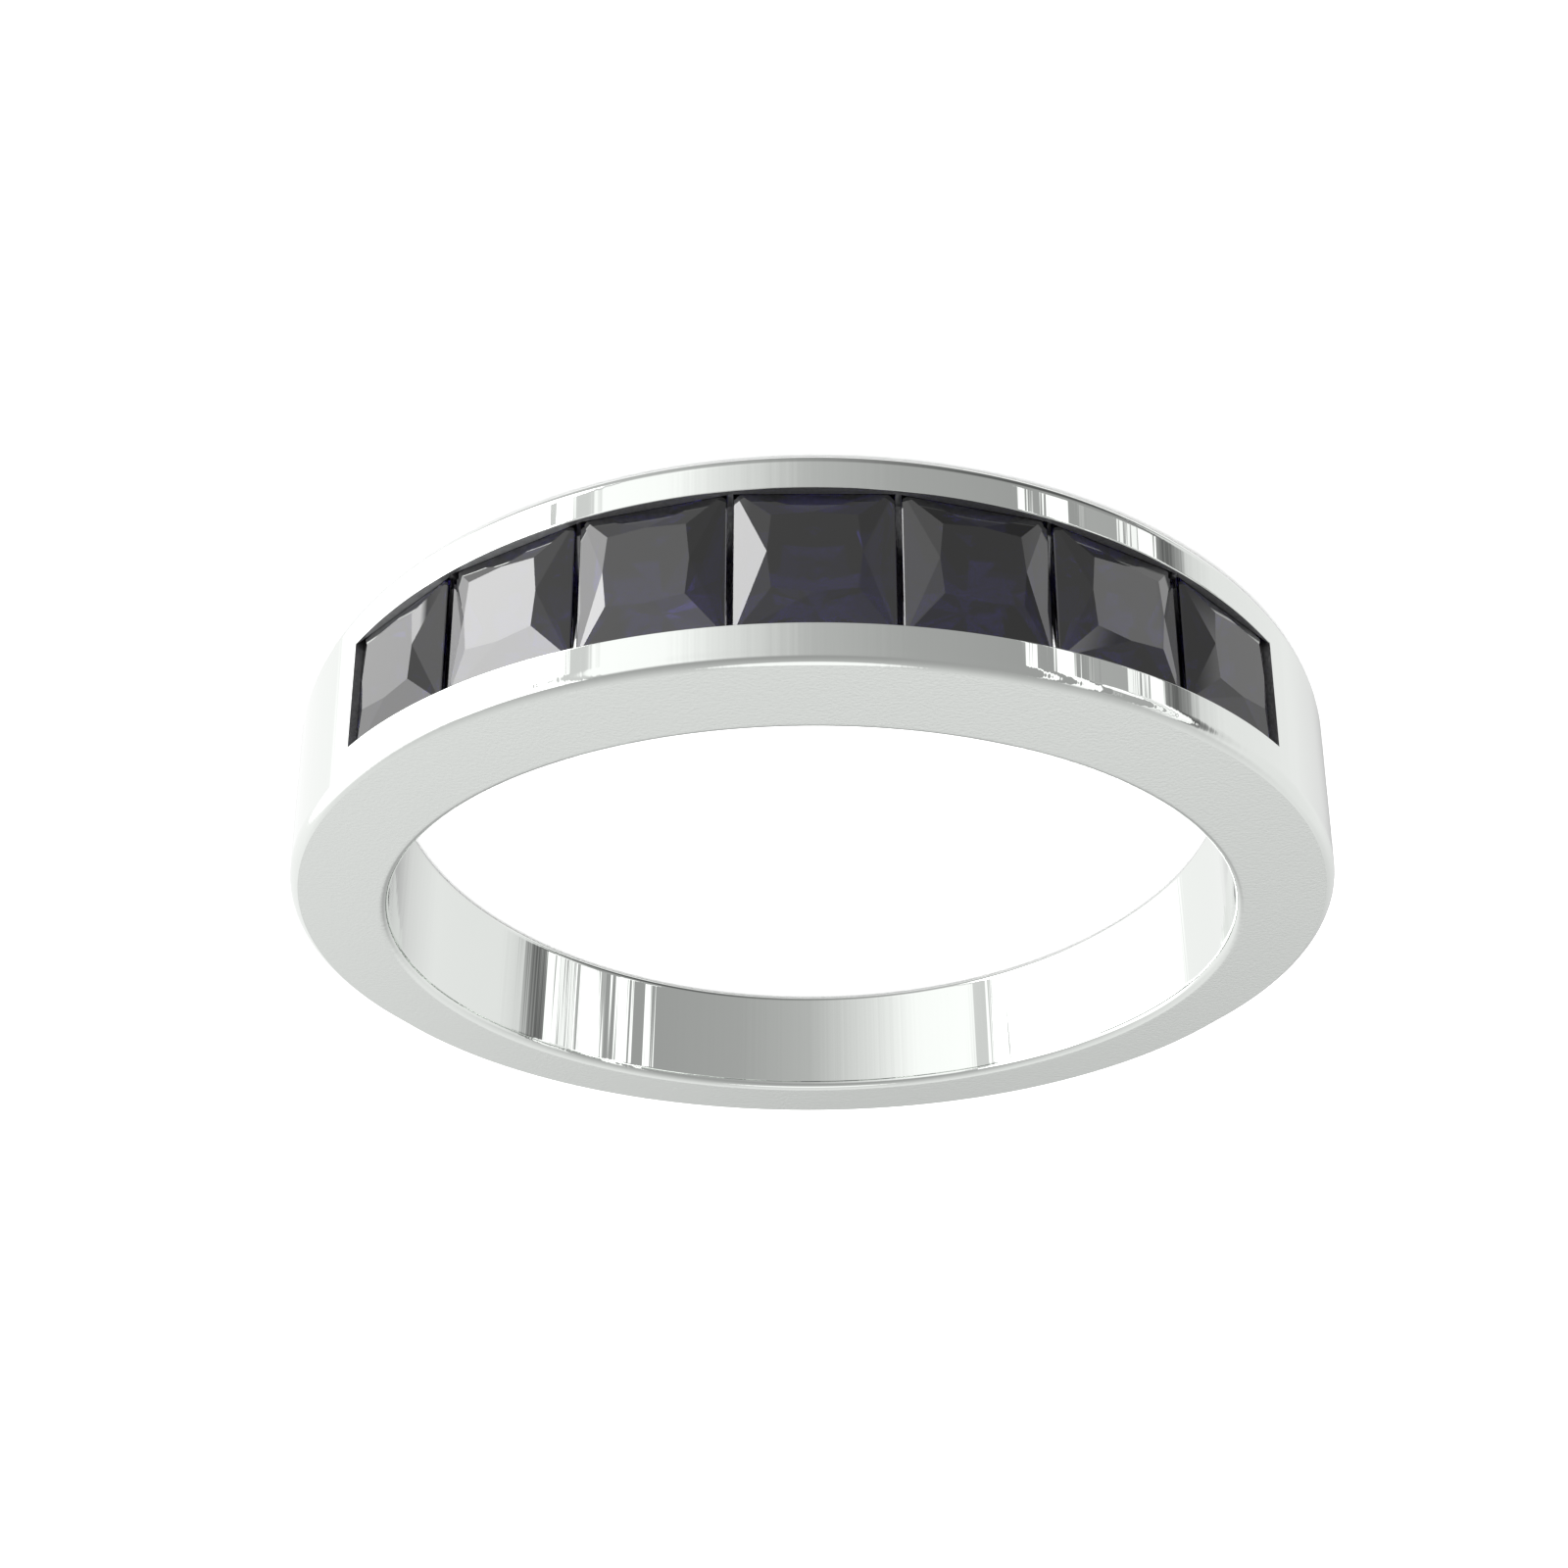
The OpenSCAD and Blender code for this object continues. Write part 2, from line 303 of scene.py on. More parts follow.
class BandSurface:
    """The band's skin: a closed profile carried round the ring, with an open channel along the row."""

    EDGE_STEPS = 8
    LIP_STEPS = 6
    WINDOW_STEPS = 2
    FRONT_STEP = math.radians(0.6)
    BACK_STEP = math.radians(0.9)
    # Shares along a flat run, close together near its ends so that shading bends only there
    RUN = np.array([0, 0.03, 0.12, 0.5, 0.88, 0.97, 1])
    # How closely the rails are pressed down onto the crowns
    PRESSED = 0.005 * MM
    # Points that round to the same multiple of this are one point
    JOIN = 1e-4 * MM
    # What rounding may add to a turn, in radians
    TURN_ERROR = 1e-6
    # Edges that bend by more than this are sharp
    SHARP = math.radians(20)

    def __init__(self, shape):
        self.shape = shape
        self.turns, self.is_open = self.stations()
        self.columns = {}
        self.reach, self.rise = self.profile()

    def stations(self):
        """Turns of the profiles: through the open channel from end to end, then round the back to the start.

        Both ends of the channel come twice, open and closed, and the faces between the two are its end walls.
        """
        shape = self.shape
        floor_reach = shape.bore + shape.band.floor_wall - shape.shift
        window = math.atan(shape.band.window / 2 / floor_reach)
        edges = np.concatenate([shape.stone_turns - window, shape.stone_turns + window])
        # Seats change inside the gaps, so that each keeps its own width as far as its stone reaches
        aside = shape.row.gap / 4 / shape.front
        seat_ends = np.concatenate([shape.gap_turns - aside, shape.gap_turns + aside])
        ends = [-shape.channel_end, -shape.row_end, shape.row_end, shape.channel_end]
        marks = np.sort(np.concatenate([edges, seat_ends, ends]))
        counts = np.ceil(np.diff(marks) / self.FRONT_STEP).astype(int)
        front = steps(marks[0], *zip(marks[1:], counts))
        back_turn = 2 * (math.pi - shape.channel_end)
        back = shape.channel_end + steps(0, (back_turn, round(back_turn / self.BACK_STEP)))
        self.window_marks = [
            tuple(int(np.argmin(np.abs(front - edge))) for edge in (middle - window, middle + window))
            for middle in shape.stone_turns
        ]
        return np.concatenate([front, back]), np.arange(len(front) + len(back)) < len(front)

    def wall_runs(self, turn, outer, window):
        """From the middle of the bore wall to the rail: bore wall, its rounding, side face, rim rounding.

        The side face's rise is linear in reach: the taper's slope, times the cosine of the turn. Both
        roundings are arcs. The bore's touches the side face, which cuts the rim's short.
        """
        shape, band = self.shape, self.shape.band
        slope = shape.slope * np.cos(turn)
        bore = shape.round_bore(turn, shape.bore)

        def rounding(centre_reach, radius, at_wall, at_side, shares):
            """An arc between a wall and the side face, given by the angles of its normal at the two."""
            side_rise = shape.half_at_centre + slope * (centre_reach + radius * np.cos(at_side))
            normal = at_wall + (at_side - at_wall) * shares
            return (
                centre_reach + radius * np.cos(normal),
                side_rise + radius * (np.sin(normal) - np.sin(at_side)),
            )

        shares = np.linspace(0, 1, self.EDGE_STEPS + 1)
        side_normal = np.pi / 2 + np.arctan(slope)
        bore_arc = rounding(bore + band.bore_edge, band.bore_edge, np.pi, side_normal, shares)
        rim_radius = band.rim_edge / math.cos(band.rim_cut)
        rim_arc = rounding(outer - rim_radius, rim_radius, 0.0, side_normal - band.rim_cut, shares[::-1])
        # The window's columns take the place of the first points of the bore's run
        bore_rise = np.hstack([
            np.broadcast_to(window, (len(turn), len(window))),
            window[-1] + (bore_arc[1][:, :1] - window[-1]) * self.RUN[2:-1],
        ])
        start, end = bore_arc[0][:, -1:], rim_arc[0][:, :1]
        side_reach = start + (end - start) * self.RUN[1:-1]
        return {
            "bore": (np.broadcast_to(bore, bore_rise.shape), bore_rise),
            "bore_edge": bore_arc,
            "side": (side_reach, shape.half_at_centre + slope * side_reach),
            "rim": rim_arc,
        }

    def channel_runs(self, turn, outer, window, rim_rise):
        """From the rim into the channel: rail, lip, the channel's wall with its groove for girdles, floor.

        The lip is a quarter circle. The wall's rise is half the clear width, and the groove's is half the
        girdle's width, with some clearance. The floor is a circle about the finger hole's axis.
        """
        shape, band = self.shape, self.shape.band
        lip_rise = shape.channel_half(turn, outer) + band.lip_edge
        rail_rise = rim_rise + (lip_rise - rim_rise) * self.RUN[1:-1]
        quarter = np.linspace(0, np.pi / 2, self.LIP_STEPS + 1)
        lip_reach = outer - band.lip_edge + band.lip_edge * np.cos(quarter)
        girdle, half, rise, fall = shape.seat(np.clip(turn, -shape.row_end, shape.row_end))
        low = girdle - shape.row.girdle
        wall_reach = np.hstack([
            girdle + rise + self.PRESSED, girdle + band.seat_slack, low - band.seat_slack, low - fall,
        ])
        wall_rise = shape.channel_half(turn, wall_reach)
        in_row = np.abs(turn[:, 0]) <= shape.row_end + self.TURN_ERROR
        wall_rise[in_row, 1:3] = half[in_row] + band.seat_slack
        floor = shape.round_bore(turn, shape.bore + band.floor_wall)
        floor_edge = shape.channel_half(turn, floor)
        floor_rise = np.hstack([
            floor_edge, floor_edge + (window[-1] - floor_edge) / 2,
            np.broadcast_to(window[::-1], (len(turn), len(window))),
        ])
        return {
            "rail": (np.broadcast_to(outer, rail_rise.shape), rail_rise),
            "lip": (lip_reach, lip_rise - band.lip_edge * np.sin(quarter)),
            "wall": (wall_reach, wall_rise),
            "floor": (np.broadcast_to(floor, floor_rise.shape), floor_rise),
        }

    def profile(self):
        """Reach and rise of every profile's points, from the middle of the bore wall once round the metal.

        One half is laid out in runs of points, and the other half is its mirror image.
        """
        turn = self.turns[:, None]
        outer = self.shape.outline(turn)
        window = self.shape.band.window / 2 * np.linspace(0, 1, self.WINDOW_STEPS + 1)
        runs = self.wall_runs(turn, outer, window)
        runs |= self.channel_runs(turn, outer, window, runs["rim"][1][:, -1:])
        start = 0
        for name, (reach, _) in runs.items():
            self.columns[name] = (start, start + reach.shape[1])
            start += reach.shape[1]
        reach = np.hstack([run[0] for run in runs.values()])
        rise = np.hstack([run[1] for run in runs.values()])
        # Away from the row the channel's points lie side by side on the outer wall
        lip = self.columns["lip"][0]
        flat_rise = rise[:, lip:lip + 1] * np.linspace(1, 0, start - lip)[1:]
        is_open = self.is_open[:, None]
        reach[:, lip + 1:] = np.where(is_open, reach[:, lip + 1:], outer)
        rise[:, lip + 1:] = np.where(is_open, rise[:, lip + 1:], flat_rise)
        return np.hstack([reach, reach[:, -2:0:-1]]), np.hstack([rise, -rise[:, -2:0:-1]])

    def faces(self):
        """Faces between neighbouring profiles, apart from the windows, and the walls of the windows.

        Returns the faces as rows of four point numbers, and the number of each face's finish.
        """
        rows, cols = self.reach.shape
        index = np.arange(rows * cols).reshape(rows, cols)
        right, down = np.roll(index, -1, axis=1), np.roll(index, -1, axis=0)
        quads = np.stack([index, right, np.roll(right, -1, axis=0), down], axis=-1)
        keep = np.ones((rows, cols), bool)
        finish = np.full((rows, cols), POLISHED)
        low, high = self.columns["side"]
        finish[:, low - 1:high] = SATIN
        finish[:, cols - high:cols - low + 1] = SATIN
        # A face belongs to the profile before it, so the last closed profile has the first end wall's faces
        in_channel = np.flatnonzero(self.is_open | np.roll(self.is_open, -1))
        wall = self.columns["wall"][0] - 1
        finish[np.ix_(in_channel, range(wall, cols - wall))] = AS_CAST

        def window_wall(at_bore, at_floor):
            """Faces between a line of points at the bore and its like at the floor."""
            return np.stack([at_bore[:-1], at_bore[1:], at_floor[1:], at_floor[:-1]], axis=-1)

        # The windows' columns at the bore, from one side to the other, and the floor's columns behind them
        across = self.WINDOW_STEPS
        bore = np.arange(-across, across + 1) % cols
        floor = np.arange(cols // 2 + across, cols // 2 - across - 1, -1)
        walls = []
        for first, last in self.window_marks:
            keep[np.ix_(range(first, last), bore[:-1])] = False
            keep[np.ix_(range(first, last), floor[1:])] = False
            along = index[first:last + 1]
            walls += [window_wall(along[:, bore[k]], along[:, floor[k]]) for k in (0, -1)]
            walls += [window_wall(index[i, bore], index[i, floor]) for i in (first, last)]
        walls = np.concatenate(walls)
        finishes = np.concatenate([finish[keep], np.full(len(walls), AS_CAST)])
        return np.concatenate([quads[keep], walls]), finishes

    def mesh(self, name):
        """The whole skin as a mesh: points that coincide are joined, and faces left with no area dropped."""
        points = self.shape.lay_down(self.turns[:, None], self.reach, self.rise).reshape(-1, 3)
        _, first, joined = np.unique(
            np.round(points / self.JOIN), axis=0, return_index=True, return_inverse=True
        )
        faces, finish = self.faces()
        faces = joined.reshape(-1)[faces]
        # A face whose two neighbouring corners coincide is a triangle, and one with fewer corners is nothing
        same = faces == np.roll(faces, -1, axis=1)
        crossed = (faces[:, 0] == faces[:, 2]) | (faces[:, 1] == faces[:, 3])
        four = ~same.any(axis=1) & ~crossed
        three = (same.sum(axis=1) == 1) & ~crossed
        triangles = faces[three][~same[three]].reshape(-1, 3)
        mesh = bpy.data.meshes.new(name)
        mesh.from_pydata(points[first].tolist(), [], faces[four].tolist() + triangles.tolist())
        mesh.polygons.foreach_set("material_index", np.concatenate([finish[four], finish[three]]))
        face_outwards(mesh)
        mesh.polygons.foreach_set("use_smooth", np.ones(len(mesh.polygons), bool))
        mesh.set_sharp_from_angle(angle=self.SHARP)
        return mesh


def princess_cut(shape, number, name):
    """A square cut as flat facets between rings of four points; stones are counted from 0, from +X.

    Seen from above, a ring has a point on each corner or on each side's middle, and is given by its half
    length, half width and height over the girdle plane. The crown has an eight sided table, and on each side
    a large triangle and two slender ones. A narrow bevel leads to the girdle and another from it, and below
    are chevrons: on each side a top facet and three pairs that fold round a keel, down to the point.
    """
    row = shape.row
    turn, crown, plane = shape.stone_turns[number], shape.crown(number), shape.girdle_height(number)
    half = np.array(shape.half_size(number))
    # The last stone at each end is pushed up to the channel's end wall
    push = row.end_push * np.sign(turn) if number in (0, len(shape.stone_turns) - 1) else 0
    depth = row.pavilion_share * 2 * half[0]
    side = row.table * half[0]
    corner = side * row.table_corner
    corners = np.array([(1, 1), (-1, 1), (-1, -1), (1, -1)])
    middles = np.array([(0, 1), (-1, 0), (0, -1), (1, 0)])
    # The bevels lie on the lines from the girdle's corners to the table's and to the point
    inward = row.bevel / (half[0] - corner)
    tuck = row.bevel / half[0]
    rings = {
        "table": (corners * corner, crown),
        "star": (middles * side, crown),
        "crown": (corners * (half + (corner - half) * inward), crown * inward),
        "upper": (corners * half, -row.bevel / 2),
        "lower": (corners * half, row.bevel / 2 - row.girdle),
        "pavilion": (corners * half * (1 - tuck), -row.girdle - tuck * depth),
        "keel": (middles * half * KEEL_OUT[0], -row.girdle - KEEL_DOWN[0] * depth),
        "deep": (middles * half * KEEL_OUT[1], -row.girdle - KEEL_DOWN[1] * depth),
        "ridge": (corners * half * (1 - RIDGE_DOWN), -row.girdle - RIDGE_DOWN * depth),
    }
    flat = np.concatenate([ring for ring, _ in rings.values()] + [np.zeros((1, 2))])
    height = np.append(np.repeat([level for _, level in rings.values()], 4), -row.girdle - depth) + plane
    at = {ring: 4 * i for i, ring in enumerate(rings)}
    point = 4 * len(rings)
    facets = [[at[ring] + k for k in range(4) for ring in ("table", "star")]]
    for k in range(4):
        one = {ring: first + k for ring, first in at.items()}
        two = {ring: first + (k + 1) % 4 for ring, first in at.items()}
        facets += [
            [one["crown"], two["crown"], one["star"]],
            [one["crown"], one["star"], one["table"]],
            [two["crown"], two["table"], one["star"]],
            *([one[a], one[b], two[b], two[a]]
              for a, b in (("crown", "upper"), ("upper", "lower"), ("lower", "pavilion"))),
            [one["pavilion"], one["keel"], two["pavilion"]],
            [one["pavilion"], one["deep"], one["keel"]],
            [two["pavilion"], one["keel"], one["deep"]],
            [one["pavilion"], one["ridge"], one["deep"]],
            [two["pavilion"], one["deep"], two["ridge"]],
            [one["ridge"], point, one["deep"]],
            [two["ridge"], one["deep"], point],
        ]
    along = flat[:, 0] + push
    places = shape.lay_down(turn + np.arctan2(along, height), np.hypot(along, height), flat[:, 1])
    mesh = bpy.data.meshes.new(name)
    mesh.from_pydata(places.tolist(), [], facets)
    face_outwards(mesh)
    return mesh


def face_outwards(mesh):
    """Turns the faces of a closed mesh so that they all point outwards."""
    shell = bmesh.new()
    shell.from_mesh(mesh)
    bmesh.ops.recalc_face_normals(shell, faces=shell.faces)
    shell.to_mesh(mesh)
    shell.free()


def add_node(tree, kind, inputs=None, **settings):
    """Adds a node, with its settings and what goes into it: numbers, colours, sockets or other nodes.

    A node that keeps one socket of a name for each kind of data offers the one in use, and of a node that is
    passed in, the first output in use is taken. Inputs go by name, or by number where names repeat.
    """
    node = tree.nodes.new(kind)
    for name, value in settings.items():
        setattr(node, name, value)
    for key, value in (inputs or {}).items():
        socket = node.inputs[key] if isinstance(key, int) else next(
            one for one in node.inputs if one.name == key and one.enabled
        )
        if isinstance(value, bpy.types.Node):
            value = next(one for one in value.outputs if one.enabled)
        if isinstance(value, bpy.types.NodeSocket):
            tree.links.new(value, socket)
        else:
            socket.default_value = value
    return node


def new_material(name):
    """A material, its node tree without nodes, and the object's own coordinates."""
    material = bpy.data.materials.new(name)
    material.use_nodes = True
    tree = material.node_tree
    tree.nodes.clear()
    return material, tree, add_node(tree, "ShaderNodeTexCoord").outputs["Object"]


def rgba(values, shade=1.0):
    """A colour socket's four numbers, from red, green and blue that are darkened by a factor."""
    return (*(value * shade for value in values), 1.0)


def metal_surface(tree, base, roughness, grain, depth):
    """Ends a metal's tree: its grain as a bump of this depth, the bare metal and the output."""
    bump = add_node(tree, "ShaderNodeBump", {"Height": grain, "Strength": 1.0, "Distance": depth})
    metal = add_node(tree, "ShaderNodeBsdfPrincipled", {
        "Base Color": base, "Metallic": 1.0, "Roughness": roughness, "Normal": bump,
    })
    add_node(tree, "ShaderNodeOutputMaterial", {"Surface": metal})


def polished_rhodium(finish):
    """White gold with a thin bright rhodium plate, buffed to a mirror: cold, nearly white, faintly streaked.

    The mop leaves shallow ripples along the finger, which break the edges of what the rails mirror into fine
    lines. They change with the turn about Z alone.
    """
    material, tree, place = new_material("polished_rhodium_plate")
    # Size of a streak, and how far the roughness strays from its mean
    streak, spread = 0.25 * MM, 0.4
    # Width of a ripple where the rails are, its depth, and the rails' radius
    ripple, ripple_depth, rail_radius = 0.2 * MM, 0.002 * MM, 10.5 * MM
    streaks = add_node(tree, "ShaderNodeTexNoise", {"Vector": place, "Scale": 1 / streak, "Detail": 4.0})
    rough = add_node(tree, "ShaderNodeMapRange", {
        "Value": streaks, "To Min": finish.polish * (1 - spread), "To Max": finish.polish * (1 + spread),
    })
    x, y, _ = add_node(tree, "ShaderNodeSeparateXYZ", {"Vector": place}).outputs
    turn = add_node(tree, "ShaderNodeMath", {0: x, 1: y}, operation="ARCTAN2")
    along = add_node(tree, "ShaderNodeMath", {0: turn, 1: rail_radius / ripple}, operation="MULTIPLY")
    ripples = add_node(
        tree, "ShaderNodeTexNoise", {"W": along, "Scale": 1.0, "Detail": 2.0}, noise_dimensions="1D"
    )
    metal_surface(tree, rgba(finish.metal), rough, ripples, ripple_depth)
    return material


def satin_rhodium(finish):
    """The same plate over a fine matt grain, rubbed on flat abrasive: soft, even and a little darker."""
    material, tree, place = new_material("satin_rhodium_plate")
    # 600 grit leaves scratches of about 0.02 mm; they are drawn at 0.07 mm so that they show at all
    scratch, scratch_depth, spread = 0.07 * MM, 0.0045 * MM, 0.3
    grain = add_node(tree, "ShaderNodeTexNoise", {"Vector": place, "Scale": 1 / scratch, "Detail": 3.0})
    rough = add_node(tree, "ShaderNodeMapRange", {
        "Value": grain, "To Min": finish.satin * (1 - spread), "To Max": finish.satin * (1 + spread),
    })
    metal_surface(tree, rgba(finish.metal), rough, grain, scratch_depth)
    return material


def cast_metal(finish):
    """The casting's own skin in the channel, the seats and the windows: matt, pebbled and dark."""
    material, tree, place = new_material("as_cast_white_gold")
    # Size and depth of a pebble, and how dark the skin is between the pebbles, as a factor
    pebble, pebble_depth, shade = 0.08 * MM, 0.01 * MM, 0.6
    pebbles = add_node(tree, "ShaderNodeTexNoise", {"Vector": place, "Scale": 1 / pebble, "Detail": 4.0})
    tint = add_node(tree, "ShaderNodeMix", {
        "Factor": pebbles, "A": rgba(finish.cast), "B": rgba(finish.cast, shade),
    }, data_type="RGBA")
    metal_surface(tree, tint, finish.matt, pebbles, pebble_depth)
    return material


def cut_sapphire(finish):
    """Blue corundum, cut and polished: hard bright facets, and a body that gives little light back."""
    material, tree, place = new_material("cut_blue_corundum")
    # The crystal's colour zones: their size, and how dark the darkest are, as a factor
    zone, shade = 1.2 * MM, 0.5
    zones = add_node(tree, "ShaderNodeTexNoise", {"Vector": place, "Scale": 1 / zone, "Detail": 1.0})
    tint = add_node(tree, "ShaderNodeMix", {
        "Factor": zones, "A": rgba(finish.body), "B": rgba(finish.body, shade),
    }, data_type="RGBA")
    stone = add_node(tree, "ShaderNodeBsdfPrincipled", {
        "Base Color": tint, "Roughness": 0.0, "IOR": finish.ior, "Transmission Weight": 1.0,
    })
    add_node(tree, "ShaderNodeOutputMaterial", {"Surface": stone})
    return material


def white_paper():
    """Matt white seamless paper, calendered smooth: no gloss, and a tooth too faint to see from here."""
    material, tree, place = new_material("white_seamless_paper")
    # Size of the tooth, and how much light its hollows and its tops give back
    fibre, dark, light = 0.4 * MM, 0.9, 0.92
    tooth = add_node(tree, "ShaderNodeTexNoise", {"Vector": place, "Scale": 1 / fibre, "Detail": 2.0})
    tone = add_node(tree, "ShaderNodeMapRange", {"Value": tooth, "To Min": dark, "To Max": light})
    paper = add_node(tree, "ShaderNodeBsdfPrincipled", {
        "Base Color": tone, "Roughness": 0.9, "Specular IOR Level": 0.0,
    })
    add_node(tree, "ShaderNodeOutputMaterial", {"Surface": paper})
    return material


# What stands round the table, as the ring's walls show it: azimuth in degrees (0 in front of the stones,
# 90 towards +X) and brightness, where 1 is plain white. Between two entries the brightness changes evenly.
TENT_WALLS = [
    (-180, 0.5), (-165, 0.55), (-150, 0.85), (-130, 1.05), (-98, 1.05), (-90, 0.9), (-87, 0.4), (-83, 0.15),
    (-80, 0.4), (-20, 0.5), (0, 0.62), (20, 1.05), (30, 1.35), (46, 1.4), (48, 0.85), (84, 0.85), (86, 2.9),
    (116, 2.7), (129, 1.2), (160, 1.1), (180, 0.5),
]
# Upright strip lights between dark cards, which stand before the walls, on the right and the left of the
# picture: from and to, in degrees, and brightness
RIGHT_STRIPS = [
    (-80, -75.4, 1.1), (-74.8, -72.5, 0.9), (-71.7, -69.7, 0.9), (-69.7, -61.5, 0.1), (-61, -59.5, 0.2),
    (-57, -51.6, 1.1), (-47, -45, 1.1),
]
LEFT_STRIPS = [(51.5, 53.2, 0.6), (53.2, 56.4, 5.5), (57.8, 85.5, 6.1)]
# How softly a strip begins and ends, in degrees
STRIP_EDGE = 0.3
# The right strips lean: this is added to the azimuth at the table's level, and so much more straight up, in
# radians
STRIP_LEAN, STRIP_LEAN_UP = 0.054, 0.105
# A small round lamp among the right strips, which only the inside of the band shows: azimuth, sine of its
# elevation, half width in degrees, and half height as a sine
ROUND_LAMP = (-65.6, -0.34, 4.8, 0.13)
# The tops of the walls stand lower behind than in front, by this slant
TOP_SLANT = 0.12
# Brightness of the tent's lowest part, behind the ring
LOW_BACK = 1.25
# Soft changes between the tent's parts: what each one follows, where it begins and ends there, and its value
# before and after. x, y and z are those of the direction looked in, top is z plus y times the slant, and lamp
# is the square of the distance from the round lamp's middle, 1 at its edge.
CHANGES = {
    "round_lamp": ("lamp", 1.15, 0.85, 0.0, 1.1),
    "strips_shown": ("z", -0.59, -0.57, 0.0, 1.0),
    "roof_share": ("top", 0.28, 0.58, 0.0, 1.0),
    "roof": ("y", -1.0, 1.0, 0.42, 1.06),
    "top_lamp": ("z", 0.97, 0.99, 0.0, 0.6),
    "low_share": ("z", -0.7, -0.86, 0.0, 1.0),
    "low_back_share": ("y", 0.15, 0.4, 0.0, 1.0),
    "low_front": ("x", -0.6, 0.6, 0.1, 0.7),
}


def strip_stops(strips):
    """Turns strips into entries like the walls', with brightness 0 between them."""
    stops = []
    for start, end, level in strips:
        stops += [(start - STRIP_EDGE, 0.0), (start + STRIP_EDGE, level)]
        stops += [(end - STRIP_EDGE, level), (end + STRIP_EDGE, 0.0)]
    return stops


def levels_by_azimuth(tree, turn, leaning_turn):
    """Brightness of the walls, of the left strips and of the right strips in the direction looked in."""
    lights = []
    for place, stops in (
        (turn, TENT_WALLS), (turn, strip_stops(LEFT_STRIPS)), (leaning_turn, strip_stops(RIGHT_STRIPS)),
    ):
        low, high, brightest = stops[0][0], stops[-1][0], max(level for _, level in stops)
        along = add_node(tree, "ShaderNodeMapRange", {
            "Value": place, "From Min": math.radians(low), "From Max": math.radians(high),
        })
        levels = add_node(tree, "ShaderNodeValToRGB", {"Fac": along})
        ramp = levels.color_ramp
        while len(ramp.elements) < len(stops):
            ramp.elements.new(0.5)
        for element, (azimuth, level) in zip(ramp.elements, stops):
            element.position = (azimuth - low) / (high - low)
            element.color = (level / brightest,) * 3 + (1,)
        lights.append(add_node(tree, "ShaderNodeMath", {0: levels, 1: brightest}, operation="MULTIPLY"))
    return lights


def lamp_distance(tree, turn, rise):
    """Square of the distance from the round lamp's middle, where its half width and half height are 1."""
    azimuth, lamp_rise, half_width, half_height = ROUND_LAMP
    away = [
        add_node(
            tree, "ShaderNodeMapRange", {"Value": value, "From Min": middle, "From Max": middle + half},
            clamp=False,
        )
        for value, middle, half in (
            (turn, math.radians(azimuth), math.radians(half_width)), (rise, lamp_rise, half_height),
        )
    ]
    squares = [add_node(tree, "ShaderNodeMath", {0: one, 1: one}, operation="MULTIPLY") for one in away]
    return add_node(tree, "ShaderNodeMath", dict(enumerate(squares)), operation="ADD")


def studio_world(studio):
    """The light tent as the ring mirrors it, and plain white for the floor and the camera.

    Its walls change with azimuth up to a little above the table. Over them the tent is dim in front, round
    the camera, and bright behind, with one lamp straight above. Far below, it is dim in front, most of all on
    the -X side, and bright behind.
    """
    world = bpy.data.worlds.new("light_tent")
    world.use_nodes = True
    tree = world.node_tree
    tree.nodes.clear()
    direction = add_node(tree, "ShaderNodeTexCoord").outputs["Generated"]
    x, y, z = add_node(tree, "ShaderNodeSeparateXYZ", {"Vector": direction}).outputs
    front = add_node(tree, "ShaderNodeMath", {0: y, 1: -1.0}, operation="MULTIPLY")
    turn = add_node(tree, "ShaderNodeMath", {0: x, 1: front}, operation="ARCTAN2")
    lean = add_node(
        tree, "ShaderNodeMath", {0: z, 1: STRIP_LEAN_UP, 2: STRIP_LEAN}, operation="MULTIPLY_ADD"
    )
    leaning_turn = add_node(tree, "ShaderNodeMath", {0: turn, 1: lean}, operation="ADD")
    walls, left_strips, right_strips = levels_by_azimuth(tree, turn, leaning_turn)

    top = add_node(tree, "ShaderNodeMath", {0: y, 1: TOP_SLANT, 2: z}, operation="MULTIPLY_ADD")
    follows = {"x": x, "y": y, "z": z, "top": top, "lamp": lamp_distance(tree, turn, z)}
    change = {
        name: add_node(tree, "ShaderNodeMapRange", {
            "Value": follows[what], "From Min": start, "From Max": end, "To Min": before, "To Max": after,
        }, interpolation_type="SMOOTHSTEP")
        for name, (what, start, end, before, after) in CHANGES.items()
    }
    right = add_node(tree, "ShaderNodeMath", {0: right_strips, 1: change["round_lamp"]}, operation="ADD")
    strips = add_node(
        tree, "ShaderNodeMath", {0: right, 1: change["strips_shown"], 2: left_strips},
        operation="MULTIPLY_ADD",
    )
    walls = add_node(tree, "ShaderNodeMath", {0: walls, 1: strips}, operation="ADD")
    high = add_node(tree, "ShaderNodeMix", {
        "Factor": change["roof_share"], "A": walls, "B": change["roof"],
    })
    high = add_node(tree, "ShaderNodeMath", {0: high, 1: change["top_lamp"]}, operation="ADD")
    low = add_node(tree, "ShaderNodeMix", {
        "Factor": change["low_back_share"], "A": change["low_front"], "B": LOW_BACK,
    })
    tent = add_node(tree, "ShaderNodeMix", {"Factor": change["low_share"], "A": high, "B": low})
    ray = add_node(tree, "ShaderNodeLightPath").outputs
    plain = add_node(
        tree, "ShaderNodeMath", {0: ray["Is Camera Ray"], 1: ray["Is Diffuse Ray"]}, operation="MAXIMUM"
    )
    shown = add_node(tree, "ShaderNodeMix", {"Factor": plain, "A": tent, "B": studio.paper_light})
    background = add_node(tree, "ShaderNodeBackground", {"Color": shown})
    add_node(tree, "ShaderNodeOutputWorld", {"Surface": background})
    return world


